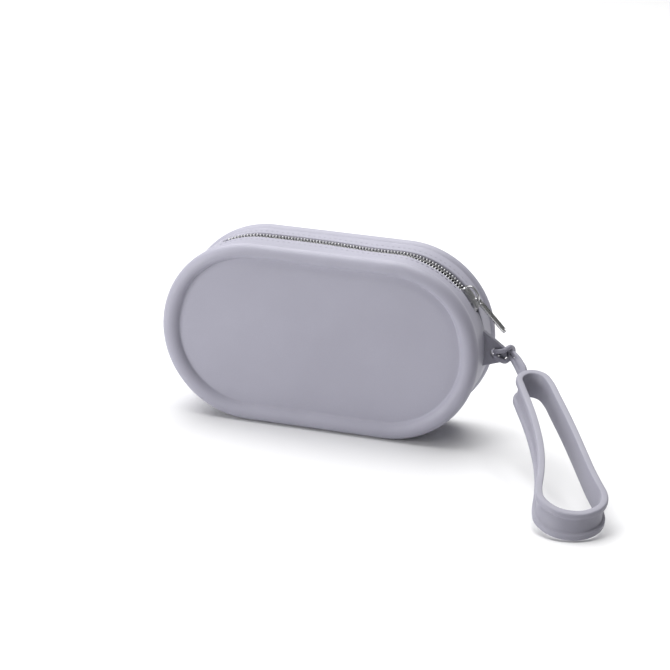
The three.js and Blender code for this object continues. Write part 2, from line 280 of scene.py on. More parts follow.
def bump(nt, height, strength, distance, normal=None):
    b = add(nt, "ShaderNodeBump")
    b.inputs["Strength"].default_value = strength
    b.inputs["Distance"].default_value = distance
    nt.links.new(height, b.inputs["Height"])
    if normal is not None:
        nt.links.new(normal, b.inputs["Normal"])
    return b.outputs["Normal"]


def object_coords(nt):
    return add(nt, "ShaderNodeTexCoord").outputs["Object"]


def silicone(name, base, dust=0.5, rough=0.5, grain=1.0):
    """Matte moulded silicone: a soft sheen, a fine spark-eroded grain, slow clouding and a little lint."""
    m, nt, bsdf = nodes_of(name)
    vec = object_coords(nt)
    b = np.array(base)
    cloud = noise(nt, vec, 26, 3, 0.55)
    col = ramp(nt, cloud, [(0.3, tuple(b * 0.965)), (0.7, tuple(np.minimum(b * 1.03, 1)))])
    speck = noise(nt, vec, 2600, 1.0, 0.5)
    fine = ramp(nt, speck, [(0.35, (0.955, 0.955, 0.96)), (0.62, (1, 1, 1)), (0.8, (1.03, 1.03, 1.03))])
    mix = add(nt, "ShaderNodeMix", data_type="RGBA", blend_type="MULTIPLY")
    mix.inputs["Factor"].default_value = 0.6
    nt.links.new(col, mix.inputs["A"])
    nt.links.new(fine, mix.inputs["B"])
    lint = noise(nt, vec, 900, 2.0, 0.6, 1.5)
    spots = span(nt, lint, 0.0, 0.16 * dust, 0.70, 0.80)
    mix2 = add(nt, "ShaderNodeMix", data_type="RGBA", blend_type="MIX")
    nt.links.new(spots, mix2.inputs["Factor"])
    nt.links.new(mix.outputs["Result"], mix2.inputs["A"])
    mix2.inputs["B"].default_value = (0.85, 0.85, 0.9, 1)
    nt.links.new(mix2.outputs["Result"], bsdf.inputs["Base Color"])
    r = noise(nt, vec, 60, 3, 0.6)
    nt.links.new(span(nt, r, rough - 0.06, rough + 0.07, 0.25, 0.75), bsdf.inputs["Roughness"])
    g1 = noise(nt, vec, 3800, 2.0, 0.6)
    g2 = noise(nt, vec, 150, 2.0, 0.5)
    n1 = bump(nt, g2, 0.12, 0.00035)
    n2 = bump(nt, g1, 0.16 * grain, 0.00004, n1)
    nt.links.new(n2, bsdf.inputs["Normal"])
    bsdf.inputs["Sheen Weight"].default_value = 0.12
    bsdf.inputs["Sheen Roughness"].default_value = 0.45
    bsdf.inputs["Subsurface Weight"].default_value = 0.08
    bsdf.inputs["Subsurface Radius"].default_value = (1.0, 0.9, 1.1)
    bsdf.inputs["Subsurface Scale"].default_value = 0.0012
    bsdf.inputs["Specular IOR Level"].default_value = 0.42
    return m


def metal(name, base, rough=0.24, brush=(1.0, 1.0, 1.0), wear=0.5):
    """Nickel plate: fine polishing lines, small dents and a cloudy tarnish."""
    m, nt, bsdf = nodes_of(name)
    vec = object_coords(nt)
    mp = add(nt, "ShaderNodeMapping")
    mp.inputs["Scale"].default_value = brush
    nt.links.new(vec, mp.inputs["Vector"])
    lines = noise(nt, mp.outputs["Vector"], 2200, 3.0, 0.6)
    cloud = noise(nt, vec, 420, 3.0, 0.6)
    b = np.array(base)
    col = ramp(nt, cloud, [(0.32, tuple(b * (1 - 0.16 * wear))), (0.6, tuple(b)), (0.8, tuple(np.minimum(b * 1.06, 1)))])
    nt.links.new(col, bsdf.inputs["Base Color"])
    bsdf.inputs["Metallic"].default_value = 1.0
    nt.links.new(span(nt, lines, rough - 0.07, rough + 0.10, 0.3, 0.7), bsdf.inputs["Roughness"])
    n1 = bump(nt, cloud, 0.10, 0.0001)
    nt.links.new(bump(nt, lines, 0.12, 0.00002, n1), bsdf.inputs["Normal"])
    return m


def woven(name, base, period=0.00042):
    """Plain polyester tape: a tight over and under weave with fuzz, its colour darker where the weave dips, as
    painted shade.
    """
    m, nt, bsdf = nodes_of(name)
    vec = object_coords(nt)
    sep = add(nt, "ShaderNodeSeparateXYZ")
    nt.links.new(vec, sep.inputs[0])
    k = 2 * math.pi / period
    sx = math_node(nt, "SINE", math_node(nt, "MULTIPLY", math_node(nt, "ADD", sep.outputs["X"], sep.outputs["Z"]), k))
    sy = math_node(nt, "SINE", math_node(nt, "MULTIPLY", sep.outputs["Y"], k))
    weave = math_node(nt, "MULTIPLY", sx, sy)
    fuzz = noise(nt, vec, 6000, 2.0, 0.7)
    height = math_node(nt, "ADD", math_node(nt, "MULTIPLY", weave, 0.5), fuzz)
    b = np.array(base)
    # colour follows the weave's height: painted shade in the weave's dips and painted light on its crowns
    col = ramp(nt, span(nt, weave, 0.0, 1.0, -1.0, 1.0), [(0.1, tuple(b * 0.72)), (0.9, tuple(np.minimum(b * 1.12, 1)))])
    nt.links.new(col, bsdf.inputs["Base Color"])
    nt.links.new(span(nt, fuzz, 0.78, 0.95, 0.2, 0.8), bsdf.inputs["Roughness"])
    nt.links.new(bump(nt, height, 0.5, 0.00008), bsdf.inputs["Normal"])
    bsdf.inputs["Sheen Weight"].default_value = 0.3
    return m


SIL = (0.352, 0.346, 0.412)
M_SHELL = silicone("silicone_shell", SIL)
# the lug is the shell's silicone; its base colour at 0.72 of the shell's is painted shade, for the shadow the pouch
# body casts on it
M_LUG_PAINTED_SHADE = silicone("silicone_lug_painted_shade", tuple(0.72 * np.array(SIL)), dust=0.3)
# the strap is moulded from the shell's silicone; its base colour at 0.79 of the shell's is painted shade, darkening
# it to its shaded look
M_STRAP_PAINTED_SHADE = silicone("silicone_strap_painted_shade", tuple(0.79 * np.array(SIL)), dust=0.6)
# the tape's near-black colour is painted shade: it stands for the deep shadow in the slot under the coil
M_TAPE_PAINTED_SHADE = woven("zip_tape_weave_painted_shade", (0.085, 0.083, 0.095))
# the thread has the body's colour; setting it a little darker than the silicone is painted shade for the shadow on
# the sunk stitches
M_THREAD_PAINTED_SHADE = woven("sewing_thread_painted_shade", (0.30, 0.295, 0.35), 0.00035)
M_TEETH = metal("zip_coil_silver", (0.64, 0.64, 0.645), 0.36)
M_NICKEL = metal("slider_nickel", (0.62, 0.62, 0.63), 0.32)
M_PULL = metal("pull_nickel", (0.62, 0.62, 0.625), 0.27, brush=(0.4, 3.0, 0.4))


def paint(o, m):
    o.data.materials.clear()
    o.data.materials.append(m)
    return o


# ---------------------------------------------------------------------------------------------------------------
# Shells. A column is a direction across the outline; the profile is drawn in it as distance from the spine and depth.
RIM_R = 4.25
RIM_RHO = R_OUT - RIM_R
RIM_Y = 16.25
PANEL_Y = 17.9
GUSSET = 41.3
WALL = 2.1
CHAIN_START, CHAIN_END = -26.9, 56.6
SL_MID = 54.0


def outline_columns(cap_step=1.5, straight_steps=26):
    cols = []
    n = int(round(180 / cap_step))
    for i in range(n + 1):
        cols.append((A, 180 * i / n))
    for i in range(1, straight_steps):
        cols.append((A - 2 * A * i / straight_steps, 180.0))
    for i in range(n + 1):
        cols.append((-A, 180 + 180 * i / n))
    for i in range(1, straight_steps):
        cols.append((-A + 2 * A * i / straight_steps, 360.0))
    return cols


def top_angle(c):
    """Signed degrees from the top on a cap, negative on the left, or None off the zip's side."""
    cx, deg = c
    if deg >= 359.999 or (deg <= 1e-6):
        return 0.0
    if cx >= A - 1e-6 and deg < 180:
        return deg
    if cx <= -A + 1e-6 and deg > 180:
        return deg - 360.0
    return 180.0


def slot_half(c, side):
    """Half width of the slot between the silicone lips."""
    cx, _ = c
    a = top_angle(c)
    if a == 180.0:
        return 0.05
    if a < 0:
        return 0.05 + 3.4 * (1 - smoothstep(-a, 24.5, 29.5)) ** 0.6 if a > -29.5 else 0.05
    if cx < A - 1e-6:
        return 3.45
    base = 3.45 + (0.75 if side < 0 else 0.0) * float(smoothstep(a, 3, 20))
    swell = (0.25 if side < 0 else 0.5) * smoothstep(a, 44, 54) * (1 - 0.35 * smoothstep(a, 56, 60))
    w = base + swell
    if a > 59.0:
        t = min((a - 59.0) / (65.2 - 59.0), 1.0)
        w = w * max(1 - t ** 1.7, 0.0) + 0.05
    if a > 65.2:
        w = 0.05 + 0.40 * (1 - smoothstep(a, 66.5, 76))
    return w


def profile(c, side):
    h = float(slot_half(c, side))
    in_slot = min(1.0, h / 2.0)
    pts = []
    # outer face of the panel, very slightly full
    # along the top the rim is pinched, so its inner side is steeper and the panel reaches further up
    up = math.cos(math.radians(c[1])) if side < 0 else 0.0
    up = float(smoothstep(up, 0.15, 0.75))
    dip = 0.16 + 0.22 * up
    for rho in (0.0, 6, 12, 18, 23, 27, 29.5, 31, 32, 32.7, 33.2, 33.6):
        pts.append((rho, PANEL_Y + 0.30 * (1 - (rho / 33.7) ** 2) - dip * float(smoothstep(rho, 30.5, 33.8))))
    # inside corner between panel and rim, a little deeper than the panel itself
    f = 0.85 - 0.25 * up
    fy = PANEL_Y - dip + f
    fr = RIM_RHO - math.sqrt((RIM_R + f) ** 2 - (fy - RIM_Y) ** 2)
    end = math.atan2(RIM_Y - fy, RIM_RHO - fr)
    for i in range(7):
        a = -math.pi / 2 + (end + math.pi / 2) * i / 6
        pts.append((fr + f * math.cos(a), fy + f * math.sin(a)))
    # rim bead
    start = math.atan2(fy - RIM_Y, fr - RIM_RHO)
    g = 0.8
    gr = GUSSET + g
    gy = RIM_Y - math.sqrt((RIM_R + g) ** 2 - (gr - RIM_RHO) ** 2)
    stop = math.atan2(gy - RIM_Y, gr - RIM_RHO)
    n = 26
    for i in range(1, n):
        a = start + (stop - start) * i / n
        pts.append((RIM_RHO + RIM_R * math.cos(a), RIM_Y + RIM_R * math.sin(a)))
    edge = pts[12][0]
    pinch = 1 - 0.34 * up
    for i, (rho, y) in enumerate(pts):
        if rho >= RIM_RHO:
            continue
        if i >= 12:
            pts[i] = (RIM_RHO - (RIM_RHO - rho) * pinch, y)
        else:
            pts[i] = (rho * (RIM_RHO - (RIM_RHO - edge) * pinch) / edge, y)
    # groove behind the rim
    a0 = math.atan2(RIM_Y - gy, RIM_RHO - gr)
    for i in range(6):
        a = a0 + (math.pi - a0) * i / 5
        pts.append((gr + g * math.cos(a), gy + g * math.sin(a)))
    # gusset, rising to the seam, then the lip
    e = 0.12 + 0.75 * in_slot
    y_end = h + e

    rise = 0.42
    if side < 0 and c[0] > A - 1e-6 and top_angle(c) != 180.0:
        turn = top_angle(c)
        rise -= 0.50 * float(smoothstep(turn, 3, 20)) * (1 - float(smoothstep(turn, 40, 47)))
        rise += 0.40 * float(smoothstep(turn, 42, 50)) * (1 - float(smoothstep(turn, 58, 68)))

    def gus(y):
        return GUSSET + rise * max(0.0, 1 - y / 12.0) ** 1.3

    for t in (0.15, 0.3, 0.45, 0.6, 0.72, 0.82, 0.9, 0.96, 1.0):
        y = gy + (y_end - gy) * t
        pts.append((gus(y), y))
    top = gus(y_end)
    for i in range(1, 7):
        a = math.pi / 2 * i / 6
        pts.append((top - e + e * math.cos(a), h + e - e * math.sin(a)))
    low = GUSSET - WALL
    pts.append((low + e * 0.6, h))
    for i in range(1, 4):
        a = math.pi / 2 * i / 3
        pts.append((low + 0.6 * e - 0.6 * e * math.sin(a), h + 0.6 * e * (1 - math.cos(a))))
    for y in (h + 2.0, 12.0, 15.0):
        pts.append((low, y if y > h + 1 else h + 1))
    pts += [(low - 0.4, 15.7), (low - 1.2, PANEL_Y - 2.0), (25, PANEL_Y - 2.0), (12, PANEL_Y - 2.0), (0.0, PANEL_Y - 2.0)]
    return pts


def at(c, rho, y):
    cx, deg = c
    r = math.radians(deg)
    return (cx + rho * math.sin(r), y, rho * math.cos(r))


WANDER_X = [-62.0, -55.0, -46.0, -33.0, -16.0, -1.0, 10.0, 19.0, 24.0, 28.5]
WANDER_Y = [-1.2, -0.1, 1.2, 1.9, 2.4, 1.9, 0.7, -0.35, -0.25, 0.0]


def wander(x):
    """The zip is sewn into a soft part, so its middle strays a little from the seam along the top."""
    return float(np.interp(x, WANDER_X, WANDER_Y))


def shell(name, side):
    cols = outline_columns()
    rings = []
    for c in cols:
        top = top_angle(c) != 180.0
        ring = []
        for rho, y in profile(c, side):
            p = at(c, rho, side * y)
            if top and rho > 37.0:
                p = (p[0], p[1] + wander(p[0]) * (1 - float(smoothstep(y, 4.5, 12.5))), p[2])
            ring.append(p)
        rings.append(ring)
    n = len(rings[0])
    verts = np.array(rings).reshape(-1, 3)
    faces = grid_faces(len(rings), n, True, False)
    o = new_object(name, verts, faces, smooth=True)
    bm = bmesh.new()
    bm.from_mesh(o.data)
    bmesh.ops.remove_doubles(bm, verts=bm.verts, dist=2e-6)
    # faces that lie across the spine's fan collapse; drop what has no area
    bad = [f for f in bm.faces if f.calc_area() < 1e-13]
    if bad:
        bmesh.ops.delete(bm, geom=bad, context="FACES_ONLY")
    bmesh.ops.recalc_face_normals(bm, faces=bm.faces)
    bm.to_mesh(o.data)
    bm.free()
    o.data.shade_smooth()
    return paint(o, M_SHELL)


front = shell("front_shell_skin", -1)
rear = shell("rear_shell_skin", 1)
for o, n in ((front, "front_shell"), (rear, "rear_shell")):
    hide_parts(n)
    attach(o, "pouch")


# ---------------------------------------------------------------------------------------------------------------
# Zip: tapes, coil teeth, stops and stitching, all along the top of the outline
def zip_point(s, ref=40.35):
    """Column at a distance s in millimetres along the zip from the coil's left end."""
    left = math.radians(-CHAIN_START) * ref
    if s < left:
        return (-A, CHAIN_START + math.degrees(s / ref))
    if s < left + 2 * A:
        return (-A + s - left, 0.0)
    return (A, math.degrees((s - left - 2 * A) / ref))


ZIP_LEN = math.radians(-CHAIN_START) * 40.35 + 2 * A + math.radians(CHAIN_END) * 40.35


def sweep_open(name, cols, section):
    rings = [[at(c, rho, y) for rho, y in section(c)] for c in cols]
    n = len(rings[0])
    verts = np.array(rings).reshape(-1, 3)
    verts[:, 1] += np.interp(verts[:, 0], WANDER_X, WANDER_Y) * (1 - smoothstep(np.abs(verts[:, 1]), 4.5, 12.5))
    faces = grid_faces(len(rings), n, False, True)
    faces.append(tuple(range(n)))
    faces.append(tuple(range((len(rings) - 1) * n, len(rings) * n))[::-1])
    return new_object(name, verts, faces)


def path_columns(lo, hi, step=1.5):
    cols = []
    for i in range(int(round(-lo / step)) + 1):
        cols.append((-A, lo - lo * i / round(-lo / step)))
    for i in range(1, 40):
        cols.append((-A + 2 * A * i / 40, 0.0))
    n = int(round(hi / step))
    for i in range(n + 1):
        cols.append((A, hi * i / n))
    return cols


for side, node in ((-1, "zip_tape_front"), (1, "zip_tape_rear")):
    def section(c, side=side):
        pts = [(38.35, 1.45), (38.30, 3), (38.30, 6), (38.30, 9), (38.32, 12.2), (38.50, 12.55), (38.75, 12.2), (38.80, 9), (38.80, 6), (38.80, 3), (38.78, 1.6), (38.6, 1.35)]
        return [(r, side * y) for r, y in pts]
    o = paint(sweep_open(node + "_cloth", path_columns(-31, 66.5), section), M_TAPE_PAINTED_SHADE)
    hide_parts(node)
    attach(o, "pouch")


def coil_row(name, side):
    """One half of the coil: a rounded leg for each tooth, from the sewn edge to a raised head past the middle."""
    # y from the sewn edge inwards, width along the zip, height, centre height
    if side > 0:
        stations = [(3.02, 0.20, 0.30, 39.75), (2.97, 0.50, 0.95, 39.85), (2.72, 0.60, 1.35, 40.05), (2.2, 0.60, 1.40, 40.30), (1.6, 0.60, 1.40, 40.52), (1.1, 0.62, 1.46, 40.72),
                    (0.65, 0.70, 1.62, 40.86), (0.2, 0.78, 1.74, 40.92), (-0.2, 0.76, 1.72, 40.90), (-0.42, 0.60, 1.44, 40.80), (-0.50, 0.14, 0.40, 40.70)]
    else:
        stations = [(3.02, 0.20, 0.30, 39.65), (2.97, 0.50, 0.95, 39.75), (2.72, 0.60, 1.30, 39.90), (2.2, 0.62, 1.35, 40.02), (1.6, 0.62, 1.35, 40.12), (1.1, 0.62, 1.35, 40.18),
                    (0.8, 0.60, 1.30, 40.20), (0.5, 0.54, 1.15, 40.18), (0.3, 0.42, 0.95, 40.14), (0.2, 0.12, 0.30, 40.10)]
    sides = 10
    verts, faces = [], []
    s = 0.9 if side < 0 else 0.9 + 0.75
    while s < ZIP_LEN - 0.5:
        base = len(verts)
        cx, deg = zip_point(s)
        r = math.radians(deg)
        tan = np.array([math.cos(r), 0, -math.sin(r)])
        out = np.array([math.sin(r), 0, math.cos(r)])
        for y, w, h, c in stations:
            centre = np.array([cx, side * y, 0]) + out * c
            centre[1] += wander(centre[0])
            for k in range(sides):
                a = 2 * math.pi * k / sides
                ca, sa = math.cos(a), math.sin(a)
                ca = math.copysign(abs(ca) ** 0.8, ca)
                sa = math.copysign(abs(sa) ** 0.8, sa)
                verts.append(centre + tan * (w / 2 * ca) + out * (h / 2 * sa))
        faces += grid_faces(len(stations), sides, False, True, base)
        faces.append(tuple(range(base, base + sides)))
        faces.append(tuple(range(base + (len(stations) - 1) * sides, base + len(stations) * sides))[::-1])
        s += 1.5
    o = new_object(name, verts, faces)
    # the cord inside the coil, which holds its legs to the tape
    path = np.array([at(zip_point(x), 39.35, side * 2.2) for x in np.linspace(0.2, ZIP_LEN - 0.2, 160)])
    path[:, 1] += np.interp(path[:, 0], WANDER_X, WANDER_Y)
    cord = tube(name + "_core", path, 0.42, 8)
    paint(cord, M_TEETH)
    paint(o, M_TEETH)
    return join(name, [o, cord])


for side, node in ((-1, "tooth_chain_front"), (1, "tooth_chain_rear")):
    o = coil_row(node + "_coil", side)
    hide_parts(node)
    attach(o, "pouch")


def stitches(name, side, y0, lo, hi):
    """A row of lockstitches sunk in the lip: each shows as a short thread with its ends in the silicone."""
    parts_v, parts_f = [], []
    ref = 41.6
    total = math.radians(-lo) * ref + 2 * A + math.radians(hi) * ref
    pitch, length = 2.55, 2.0
    s = 0.6
    sides = 8
    while s + length < total:
        base = len(parts_v)
        n = 9
        for i in range(n):
            u = i / (n - 1)
            x = s + length * u
            left = math.radians(-lo) * ref
            if x < left:
                c = (-A, lo + math.degrees(x / ref))
            elif x < left + 2 * A:
                c = (-A + x - left, 0.0)
            else:
                c = (A, math.degrees((x - left - 2 * A) / ref))
            r = math.radians(c[1])
            tan = np.array([math.cos(r), 0, -math.sin(r)])
            out = np.array([math.sin(r), 0, math.cos(r)])
            surface = GUSSET + 0.42 * max(0.0, 1 - y0 / 12.0) ** 1.3
            lift = surface - 0.21 + 0.14 * math.sin(math.pi * u) - (0.30 if i in (0, n - 1) else 0)
            centre = np.array([c[0], side * y0, 0]) + out * lift
            centre[1] += wander(centre[0]) * (1 - float(smoothstep(y0, 4.5, 12.5)))
            rad = 0.22 * (0.55 + 0.45 * math.sin(math.pi * min(max(u, 0.08), 0.92)))
            for k in range(sides):
                a = 2 * math.pi * k / sides
                parts_v.append(centre + rad * (math.cos(a) * np.array([0, side, 0]) + math.sin(a) * out))
        parts_f += grid_faces(n, sides, False, True, base)
        parts_f.append(tuple(range(base, base + sides)))
        parts_f.append(tuple(range(base + (n - 1) * sides, base + n * sides))[::-1])
        s += pitch
    o = new_object(name, parts_v, parts_f)
    return paint(o, M_THREAD_PAINTED_SHADE)


for side, word in ((-1, "front"), (1, "rear")):
    o = stitches("stitching_" + word, side, 7.3, -29.0, 63.5)
    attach(o, "pouch")


def rounded_copy(name, node, width, mat, body):
    """A CAD node's own shape with rounded edges, as a piece that stands for it."""
    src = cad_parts[node]
    me = src.data.copy()
    o = bpy.data.objects.new(name, me)
    root.objects.link(o)
    bm = bmesh.new()
    bm.from_mesh(me)
    bmesh.ops.remove_doubles(bm, verts=bm.verts, dist=1e-6)
    bmesh.ops.dissolve_limit(bm, angle_limit=math.radians(1.5), verts=bm.verts, edges=bm.edges)
    bmesh.ops.recalc_face_normals(bm, faces=bm.faces)
    bm.to_mesh(me)
    bm.free()
    soften(o, width, 3)
    paint(o, mat)
    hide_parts(node)
    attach(o, body)
    return o


rounded_copy("top_stop_front_clip", "top_stop_front", 0.28, M_NICKEL, "pouch")
rounded_copy("top_stop_rear_clip", "top_stop_rear", 0.28, M_NICKEL, "pouch")
rounded_copy("bottom_stop_clip", "bottom_stop", 0.3, M_NICKEL, "pouch")


# ---------------------------------------------------------------------------------------------------------------
# Slider. T runs along the zip to the right, N outwards, Y across.
PLATE_TOP = 42.7


def on_slider(t, n, y, bend=True):
    if bend:
        a = math.radians(SL_MID) + t / PLATE_TOP
        return np.array([A + (PLATE_TOP + n) * math.sin(a), y, (PLATE_TOP + n) * math.cos(a)])
    a = math.radians(SL_MID)
    tan = np.array([math.cos(a), 0, -math.sin(a)])
    out = np.array([math.sin(a), 0, math.cos(a)])
    return CAP + out * (PLATE_TOP + n) + tan * t + np.array([0, y, 0])


def slider_half(t):
    u = (t + 5.7) / 11.4
    w = 2.88 + 0.74 * smoothstep(u, 0.15, 0.85)
    # rounded ends of the plate
    for end in (0.0, 1.0):
        d = abs(u - end) * 11.4
        if d < 1.1:
            w -= 0.9 * (1 - math.sqrt(max(0.0, 1 - (1 - d / 1.1) ** 2)))
    return w


def slider_shell():
    ts = np.r_[np.linspace(-5.7, -4.6, 6), np.linspace(-4.2, 4.2, 18), np.linspace(4.6, 5.7, 6)]
    rings = []
    for t in ts:
        w = slider_half(t)
        wf = 3.34
        crown = 0.12
        ring = []
        top = []
        for i in range(13):
            y = -w + 2 * w * i / 12
            top.append((y, 0.0 + crown * (1 - (y / w) ** 2) - 0.02))
        # rounded shoulders
        top[0] = (-w + 0.02, -0.42)
        top[1] = (-w + 0.20, -0.12)
        top[-1] = (w - 0.02, -0.42)
        top[-2] = (w - 0.20, -0.12)
        ring += [(-w + 0.02, -0.62)] + top + [(w - 0.02, -0.62)]
        ring += [(w - 0.18, -0.80), (wf, -0.84), (wf, -3.20), (wf - 0.06, -3.32), (wf - 0.20, -3.32), (wf - 0.26, -3.20), (wf - 0.26, -0.86)]
        ring += [(-wf + 0.26, -0.86), (-wf + 0.26, -3.20), (-wf + 0.20, -3.32), (-wf + 0.06, -3.32), (-wf, -3.20), (-wf, -0.84), (-w + 0.18, -0.80)]
        rings.append([on_slider(t, n, y) for y, n in ring])
    n = len(rings[0])
    verts = np.array(rings).reshape(-1, 3)
    faces = grid_faces(len(rings), n, False, True)
    # end walls, each closed with a single face
    for row, flip in ((0, False), (len(rings) - 1, True)):
        b = row * n
        loop = [b + i for i in range(n)]
        faces.append(tuple(loop if not flip else loop[::-1]))
    o = new_object("slider_top", verts, faces)
    o.data.set_sharp_from_angle(angle=math.radians(50))
    return o


def slider_under():
    ts = np.linspace(-5.6, 5.6, 22)
    rings = []
    for t in ts:
        w = slider_half(t)
        ring = [(-w + 0.1, -5.4), (-w, -5.2), (-w, -4.95), (-w + 0.15, -4.78), (w - 0.15, -4.78), (w, -4.95), (w, -5.2), (w - 0.1, -5.4), (w - 0.5, -5.56), (-w + 0.5, -5.56)]
        rings.append([on_slider(t, n, y) for y, n in ring])
    n = len(rings[0])
    faces = grid_faces(len(rings), n, False, True)
    faces.append(tuple(range(n)))
    faces.append(tuple(range((len(rings) - 1) * n, len(rings) * n))[::-1])
    return new_object("slider_under", np.array(rings).reshape(-1, 3), faces)


def slider_post():
    verts, faces = [], []
    sides = 16
    for n_ in (-5.1, -0.4):
        for k in range(sides):
            a = 2 * math.pi * k / sides
            verts.append(on_slider(3.9 + 1.1 * math.cos(a), n_, 1.0 * math.sin(a)))
    faces += grid_faces(2, sides, False, True)
    faces.append(tuple(range(sides)))
    faces.append(tuple(range(sides, 2 * sides))[::-1])
    return new_object("slider_post", verts, faces)


def bail():
    """The arch that holds the pull: a flat wire with rounded edges, its feet sunk in the plate."""
    pts = []
    n = 40
    cx, rx, rz = -0.85, 3.86, 2.42
    pts.append((cx - rx, -0.45))
    for i in range(n + 1):
        a = math.pi * (1 - i / n)
        c, s = math.cos(a), math.sin(a)
        pts.append((cx + rx * math.copysign(abs(c) ** 0.72, c), rz * max(s, 0) ** 0.72))
    pts.append((cx + rx, -0.45))
    p = catmull(pts, 70)
    d = np.gradient(p, axis=0)
    d /= np.linalg.norm(d, axis=1)[:, None]
    nrm = np.stack([-d[:, 1], d[:, 0]], 1)
    section = []
    hw, ht = 0.78, 0.44
    for k in range(20):
        a = 2 * math.pi * k / 20
        c, s = math.cos(a), math.sin(a)
        section.append((hw * math.copysign(abs(c) ** 0.55, c), ht * math.copysign(abs(s) ** 0.55, s)))
    rings = []
    for (t, n_), q in zip(p, nrm):
        rings.append([on_slider(t + q[0] * e, n_ + q[1] * e, y, bend=False) for y, e in section])
    m = len(section)
    faces = grid_faces(len(rings), m, False, True)
    faces.append(tuple(range(m)))
    faces.append(tuple(range((len(rings) - 1) * m, len(rings) * m))[::-1])
    return new_object("slider_bail", np.array(rings).reshape(-1, 3), faces)


parts = [slider_shell(), slider_under(), slider_post(), bail()]
for p in parts:
    paint(p, M_NICKEL)
slider = join("slider_body", parts)
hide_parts("slider")
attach(slider, "slider")

# Pull tab. U runs from its axis to its free end, V across (along Y), and the third axis is its thickness.
PIVOT = (1.6, 1.0)
LIFT = math.radians(8.6)
TAB_LEN, TAB_W, TAB_T = 20.3, 3.9, 1.2


def on_tab(u, v, h):
    t = PIVOT[0] + u * math.cos(LIFT) - h * math.sin(LIFT)
    n = PIVOT[1] + u * math.sin(LIFT) + h * math.cos(LIFT)
    return on_slider(t, n, v, bend=False)


def tab_plate():
    """The plate, as rings of its outline stepped over its edge and down into a sunk field on both faces."""
    w = TAB_W / 2
    u0 = 2.75

    def outline(inset):
        out = []
        ww = w - inset
        a0, a1 = u0 + inset, TAB_LEN - w
        n = 14
        corner = 0.55
        # start end, with small corners
        for i in range(6):
            a = math.pi + math.pi / 2 * i / 5
            out.append((a0 + corner + corner * math.cos(a), -ww + corner + corner * math.sin(a)))
        for i in range(1, 10):
            out.append((a0 + corner + (a1 - a0 - corner) * i / 10, -ww))
        for i in range(n + 1):
            a = -math.pi / 2 + math.pi * i / n
            out.append((a1 + ww * math.cos(a), ww * math.sin(a)))
        for i in range(1, 10):
            out.append((a1 - (a1 - a0 - corner) * i / 10, ww))
        for i in range(6):
            a = math.pi / 2 + math.pi / 2 * i / 5
            out.append((a0 + corner + corner * math.cos(a), ww - corner + corner * math.sin(a)))
        return out

    t = TAB_T / 2
    steps = [(0.86, t - 0.26), (0.80, t - 0.24), (0.66, t - 0.03), (0.58, t), (0.26, t), (0.10, t - 0.07), (0.0, t - 0.24)]
    full = steps + [(i, -h) for i, h in reversed(steps)]
    verts, rings = [], []
    for inset, h in full:
        ring = outline(inset)
        rings.append(len(ring))
        verts += [on_tab(u, v, h) for u, v in ring]
    n = rings[0]
    faces = grid_faces(len(full), n, False, True)
    faces.append(tuple(range(n)))
    faces.append(tuple(range((len(full) - 1) * n, len(full) * n))[::-1])
    o = new_object("tab_plate", verts, faces)
    o.data.set_sharp_from_angle(angle=math.radians(38))
    return o


def tab_eye():
    """The bent wire that links the plate to the bail."""
    pts = [(3.5, -1.52), (2.4, -1.52), (1.0, -1.52), (0.35, -1.40), (0.02, -1.05), (0.0, -0.5), (0.0, 0.0), (0.0, 0.5), (0.02, 1.05), (0.35, 1.40), (1.0, 1.52), (2.4, 1.52), (3.5, 1.52)]
    p = catmull(pts, 60)
    path = np.array([on_tab(u, v, 0.0) for u, v in p])
    return tube("tab_eye", path, 0.44, 14)


plate, eye = tab_plate(), tab_eye()
paint(plate, M_PULL)
paint(eye, M_PULL)
pull = join("pull_tab_body", [plate, eye])
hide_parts("pull_tab")
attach(pull, "pull")


# ---------------------------------------------------------------------------------------------------------------
# Strap tab on the seam
EYE = (79.2, -0.2)


def lug_piece():
    cu = bpy.data.curves.new("lug_outline", "CURVE")
    cu.dimensions = "2D"
    cu.fill_mode = "BOTH"
    c, r, up, down = (79.8, -0.32), 4.34 - 0.42, 55.0, -71.7
    pts = [(A + 39.0, -7.0), (A + 39.0, 9.25), (A + 40.9, 8.93)]
    for i in range(25):
        a = math.radians(up + (down - up) * i / 24)
        pts.append((c[0] + r * math.cos(a), c[1] + r * math.sin(a)))
    pts.append((A + 40.6, -6.71))
    loops = [pts, [(EYE[0] + 2.75 * math.cos(a), EYE[1] + 2.75 * math.sin(a)) for a in np.linspace(0, 2 * math.pi, 48, endpoint=False)]]
    for loop in loops:
        sp = cu.splines.new("POLY")
        sp.points.add(len(loop) - 1)
        for q, (x, z) in zip(sp.points, loop):
            q.co = (x / 1000, z / 1000, 0, 1)
        sp.use_cyclic_u = True
    cu.extrude = 0.00105
    cu.bevel_depth = 0.00042
    cu.bevel_resolution = 4
    tmp = bpy.data.objects.new("lug_tmp", cu)
    root.objects.link(tmp)
    dg = bpy.context.evaluated_depsgraph_get()
    me = bpy.data.meshes.new_from_object(tmp.evaluated_get(dg))
    bpy.data.objects.remove(tmp)
    v = np.array([q.co for q in me.vertices]) * 1000
    # the outline is drawn 0.42 mm small, because the rounded edge stands outside it
    verts = np.stack([v[:, 0], -v[:, 2], v[:, 1]], 1)
    faces = [tuple(p.vertices) for p in me.polygons]
    o = new_object("strap_lug_skin", verts, faces)
    o.data.set_sharp_from_angle(angle=math.radians(30))
    return paint(o, M_LUG_PAINTED_SHADE)


lug = lug_piece()
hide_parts("strap_lug")
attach(lug, "pouch")

